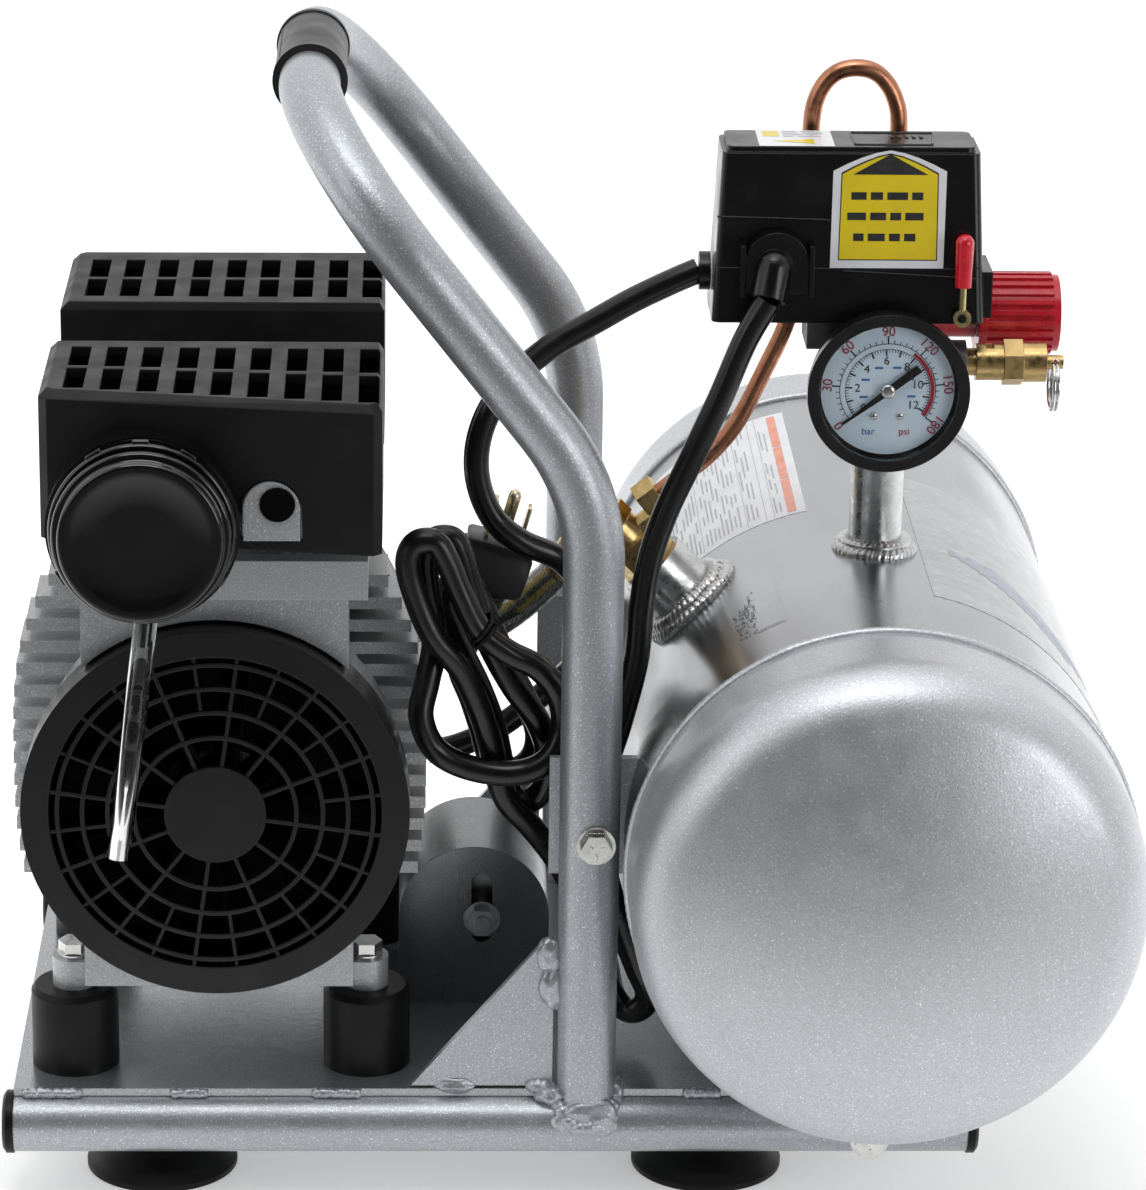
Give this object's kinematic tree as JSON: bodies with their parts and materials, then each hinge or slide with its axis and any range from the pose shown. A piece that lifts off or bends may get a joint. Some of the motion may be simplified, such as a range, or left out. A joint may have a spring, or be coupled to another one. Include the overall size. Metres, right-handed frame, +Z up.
{
  "type": "hotdog air compressor",
  "caption": "Portable air compressor with one long horizontal tank, twin capped cylinders beside it and a bent carry handle.",
  "frame": {"origin": "on the floor, at the middle of the whole outline", "axes": "+Z up, +Y along the tank away from the gauge side, +X from the pump towards the tank"},
  "size_m": [0.4104, 0.4176, 0.4152],
  "materials": {
    "frame_powder": "silver hammertone powder coat, fine speckle",
    "plate_powder": "silver powder coat with bare scratches",
    "tank_powder": "silver hammertone powder coat",
    "tank_metal": "smooth, lightly smudged",
    "bung_metal": "satin, weld rippled at the foot",
    "zinc": "bright zinc",
    "black_rubber": "matte",
    "plug_plastic": "satin moulded",
    "cast_alloy": "as cast, fine grain",
    "steel": "machined",
    "laminations": "varnished laminations and copper windings",
    "fan_plastic": "moulded",
    "guard_plastic": "satin moulded",
    "cover_plastic": "fine moulded texture",
    "filter_plastic": "deep black, fine texture",
    "filter_foam": "pleated filter paper",
    "clear_tube": "clear flexible tube",
    "dark_sheet": "dark satin coat",
    "capacitor_can": "drawn can",
    "manifold_metal": "cast block",
    "switch_plastic": "satin black",
    "gland_rubber": "satin moulded",
    "lever_metal": "plated wire",
    "red_plastic": "bright red",
    "regulator_red": "red",
    "gauge_black": "gloss black",
    "dial_face": "pale printed face",
    "lens": "clear",
    "brass": "turned brass",
    "ring_steel": "plated wire",
    "copper": "bright bent copper tube",
    "braided_hose": "braided wire with a yellow tracer",
    "cord_rubber": "satin jacket",
    "mains_plug": "moulded black body with metal blades"
  },
  "bodies": {
    "compressor": {"base_tubes": "frame_powder", "tube_end_plugs": "plug_plastic", "base_plate": "plate_powder", "frame_gussets": "frame_powder", "handle_tube": "frame_powder", "handle_grip": "black_rubber", "suction_feet": "black_rubber", "flange_bolts": "zinc", "flange_nuts": "zinc", "tank_brackets": "frame_powder", "tank_barrel": "tank_metal", "tank_heads": "tank_powder", "tank_bungs": "bung_metal", "drain_valve_body": "brass", "motor_housing": "cast_alloy", "end_brackets": "cast_alloy", "stator_core": "laminations", "motor_bearings": "steel", "fan_guards": "guard_plastic", "pistons": "cast_alloy", "cylinder_sleeves": "steel", "valve_plates": "cast_alloy", "cylinder_heads": "cast_alloy", "head_port_plugs": "plug_plastic", "front_head_cover": "cover_plastic", "rear_head_cover": "cover_plastic", "filter_body": "filter_plastic", "filter_element": "filter_foam", "filter_cap": "filter_plastic", "intake_tube": "clear_tube", "rubber_mounts": "black_rubber", "capacitor_cover": "dark_sheet", "capacitor": "capacitor_can", "manifold": "manifold_metal", "switch_base": "switch_plastic", "switch_cover": "switch_plastic", "cord_glands": "gland_rubber", "gauge_case": "gauge_black", "gauge_dial": "dial_face", "gauge_lens": "lens", "regulator_body": "regulator_red", "safety_valve_body": "brass", "air_coupler": "brass", "air_fittings": "brass", "unloader_tube": "copper", "air_hose": "braided_hose", "motor_lead": "cord_rubber", "power_cord": "cord_rubber", "power_cord_hank": "cord_rubber", "power_plug": "mains_plug"},
    "rotor": {"rotor_shaft": "steel", "cooling_fans": "fan_plastic"},
    "drain_lever": {"drain_valve_lever": "red_plastic"},
    "lever": {"switch_lever": "lever_metal", "lever_sleeve": "red_plastic"},
    "needle": {"gauge_needle": "gauge_black"},
    "knob": {"regulator_knob": "red_plastic"},
    "relief_pin": {"safety_pin": "brass"},
    "pull_ring": {"safety_ring": "ring_steel"},
    "release_sleeve": {"coupler_sleeve": "brass"}
  },
  "joints": [
    {"name": "rotor_spin", "type": "hinge", "parent": "compressor", "child": "rotor", "pos_m": [-0.12625, -0.0372, 0.153], "axis": [0, 1, 0], "continuous": true},
    {"name": "drain_turn", "type": "hinge", "parent": "compressor", "child": "drain_lever", "pos_m": [0.12225, 0.0003, 0.025], "axis": [1, 0, 0], "range_deg": [-90, 0]},
    {"name": "switch_throw", "type": "hinge", "parent": "compressor", "child": "lever", "pos_m": [0.14025, -0.0772, 0.323], "axis": [0, 1, 0], "range_deg": [-50, 8]},
    {"name": "needle_sweep", "type": "hinge", "parent": "compressor", "child": "needle", "pos_m": [0.11385, -0.086, 0.298], "axis": [0, 1, 0], "range_deg": [0, 254], "stiffness_Nm_per_rad": 0.0002},
    {"name": "knob_turn", "type": "hinge", "parent": "compressor", "child": "knob", "pos_m": [0.16375, -0.0302, 0.312], "axis": [1, 0, 0], "range_deg": [-540, 540]},
    {"name": "relief_pull", "type": "slide", "parent": "compressor", "child": "relief_pin", "axis": [1, 0, 0], "range_m": [0, 0.004], "stiffness_N_per_m": 1500, "springref_m": -0.003},
    {"name": "ring_swing", "type": "hinge", "parent": "relief_pin", "child": "pull_ring", "pos_m": [0.17675, -0.0602, 0.3018], "axis": [0, 1, 0], "range_deg": [-80, 5]},
    {"name": "coupler_release", "type": "slide", "parent": "compressor", "child": "release_sleeve", "axis": [0, -1, 0], "range_m": [0, 0.005], "stiffness_N_per_m": 600, "springref_m": -0.003}
  ]
}
